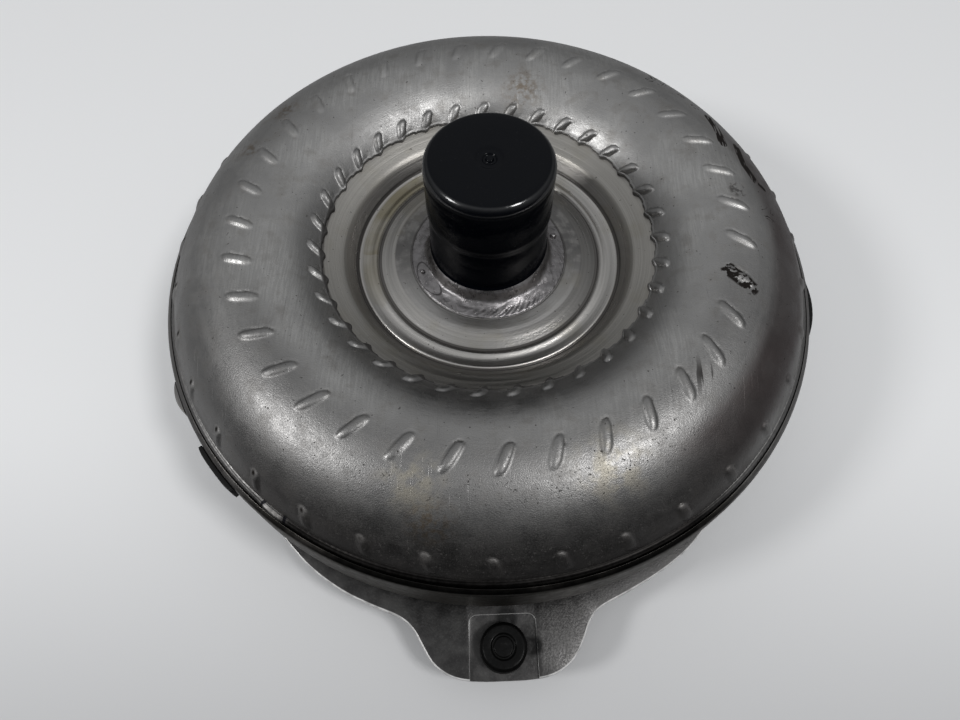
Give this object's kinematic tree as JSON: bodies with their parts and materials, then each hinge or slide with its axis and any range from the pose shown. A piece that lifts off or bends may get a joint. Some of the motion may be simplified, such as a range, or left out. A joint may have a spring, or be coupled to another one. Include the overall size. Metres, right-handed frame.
{
  "type": "torque converter",
  "caption": "Lock-up torque converter with a ribbed-lip pump shell, three mounting lugs with closed nuts, welded rim and a push-on cap over its pump hub.",
  "frame": {"origin": "on the rotation axis, at the centre of the crankshaft pilot's end face, which is the lowest face", "axes": "+Z along the pump hub, towards the gearbox; lug_1 points 88.2 degrees clockwise from +X, seen from the hub's side"},
  "size_m": [0.3102, 0.3124, 0.1298],
  "materials": {
    "shell_steel": "pressed and lightly polished low-carbon steel",
    "cover_steel": "pressed steel with turned rim",
    "weld_steel": "rippled weld bead with heat tint",
    "machined_steel": "machined and oiled",
    "cap_vinyl": "glossy dipped vinyl",
    "nut_black_oxide": "oiled black oxide",
    "weight_black": "black painted steel strip",
    "weight_bare": "bare steel strip",
    "cast_aluminium": "die cast",
    "spring_steel": "oil-tempered wire",
    "friction_paper": "paper friction lining",
    "seal_rubber": "moulded seal"
  },
  "bodies": {
    "housing": {"impeller_shell": "shell_steel", "front_cover": "cover_steel", "rim_weld": "weld_steel", "crankshaft_pilot": "machined_steel", "impeller_hub": "machined_steel", "hub_weld": "weld_steel", "impeller_blades": "machined_steel", "lug_1": "cover_steel", "lug_2": "cover_steel", "lug_3": "cover_steel", "lug_nut_1": "nut_black_oxide", "lug_nut_2": "nut_black_oxide", "lug_nut_3": "nut_black_oxide", "balance_weight_1": "weight_black", "balance_weight_2": "weight_black", "balance_weight_3": "weight_bare"},
    "cap": {"hub_cap": "cap_vinyl"},
    "turbine": {"turbine_shell": "shell_steel", "turbine_blades": "machined_steel", "turbine_hub": "machined_steel", "damper_flange": "machined_steel", "turbine_rivet_1": "machined_steel", "turbine_rivet_2": "machined_steel", "turbine_rivet_3": "machined_steel", "turbine_rivet_4": "machined_steel", "turbine_rivet_5": "machined_steel", "turbine_rivet_6": "machined_steel", "piston_seal": "seal_rubber"},
    "damper_cage": {"damper_plate_front": "machined_steel", "damper_plate_rear": "machined_steel", "damper_spacer_1": "machined_steel", "damper_spacer_2": "machined_steel", "damper_spacer_3": "machined_steel"},
    "damper_springs": {"damper_spring_1": "spring_steel", "damper_spring_2": "spring_steel", "damper_spring_3": "spring_steel", "damper_spring_4": "spring_steel", "damper_spring_5": "spring_steel", "damper_spring_6": "spring_steel"},
    "piston": {"lockup_piston": "shell_steel", "friction_lining": "friction_paper", "piston_drive_pin_1": "machined_steel", "piston_drive_pin_2": "machined_steel", "piston_drive_pin_3": "machined_steel"},
    "stator": {"stator_wheel": "cast_aluminium", "clutch_outer_race": "machined_steel", "clutch_roller_1": "machined_steel", "clutch_roller_2": "machined_steel", "clutch_roller_3": "machined_steel", "clutch_roller_4": "machined_steel", "clutch_roller_5": "machined_steel", "clutch_roller_6": "machined_steel", "clutch_roller_7": "machined_steel", "clutch_roller_8": "machined_steel"},
    "stator_race": {"clutch_inner_race": "machined_steel"},
    "impeller_bearing": {"thrust_bearing_impeller": "machined_steel"},
    "turbine_bearing": {"thrust_bearing_turbine": "machined_steel"},
    "cover_bearing": {"thrust_bearing_cover": "machined_steel"}
  },
  "joints": [
    {"name": "cap_lift", "type": "slide", "parent": "housing", "child": "cap", "axis": [0, 0, 1], "range_m": [0, 0.07]},
    {"name": "turbine_spin", "type": "hinge", "parent": "housing", "child": "turbine", "pos_m": [0, 0, 0.046], "axis": [0, 0, 1], "continuous": true},
    {"name": "damper_twist", "type": "hinge", "parent": "turbine", "child": "damper_cage", "pos_m": [0, 0, 0.03], "axis": [0, 0, 1], "range_deg": [-4, 4]},
    {"name": "spring_shift", "type": "hinge", "parent": "turbine", "child": "damper_springs", "pos_m": [0, 0, 0.03], "axis": [0, 0, 1], "range_deg": [-2, 2]},
    {"name": "piston_slide", "type": "slide", "parent": "damper_cage", "child": "piston", "axis": [0, 0, 1], "range_m": [-0.0015, 0]},
    {"name": "stator_race_spin", "type": "hinge", "parent": "housing", "child": "stator_race", "pos_m": [0, 0, 0.052], "axis": [0, 0, 1], "continuous": true},
    {"name": "stator_freewheel", "type": "hinge", "parent": "stator_race", "child": "stator", "pos_m": [0, 0, 0.052], "axis": [0, 0, 1], "continuous": true},
    {"name": "impeller_bearing_spin", "type": "hinge", "parent": "housing", "child": "impeller_bearing", "pos_m": [0, 0, 0.0608], "axis": [0, 0, 1], "continuous": true},
    {"name": "turbine_bearing_spin", "type": "hinge", "parent": "turbine", "child": "turbine_bearing", "pos_m": [0, 0, 0.0437], "axis": [0, 0, 1], "continuous": true},
    {"name": "cover_bearing_spin", "type": "hinge", "parent": "housing", "child": "cover_bearing", "pos_m": [0, 0, 0.0126], "axis": [0, 0, 1], "continuous": true}
  ],
  "couplings": [
    {"joint": "spring_shift", "follows": "damper_twist", "ratio": 0.5},
    {"joint": "cover_bearing_spin", "follows": "turbine_spin", "ratio": 0.5},
    {"joint": "impeller_bearing_spin", "follows": "stator_race_spin", "ratio": 0.5}
  ]
}
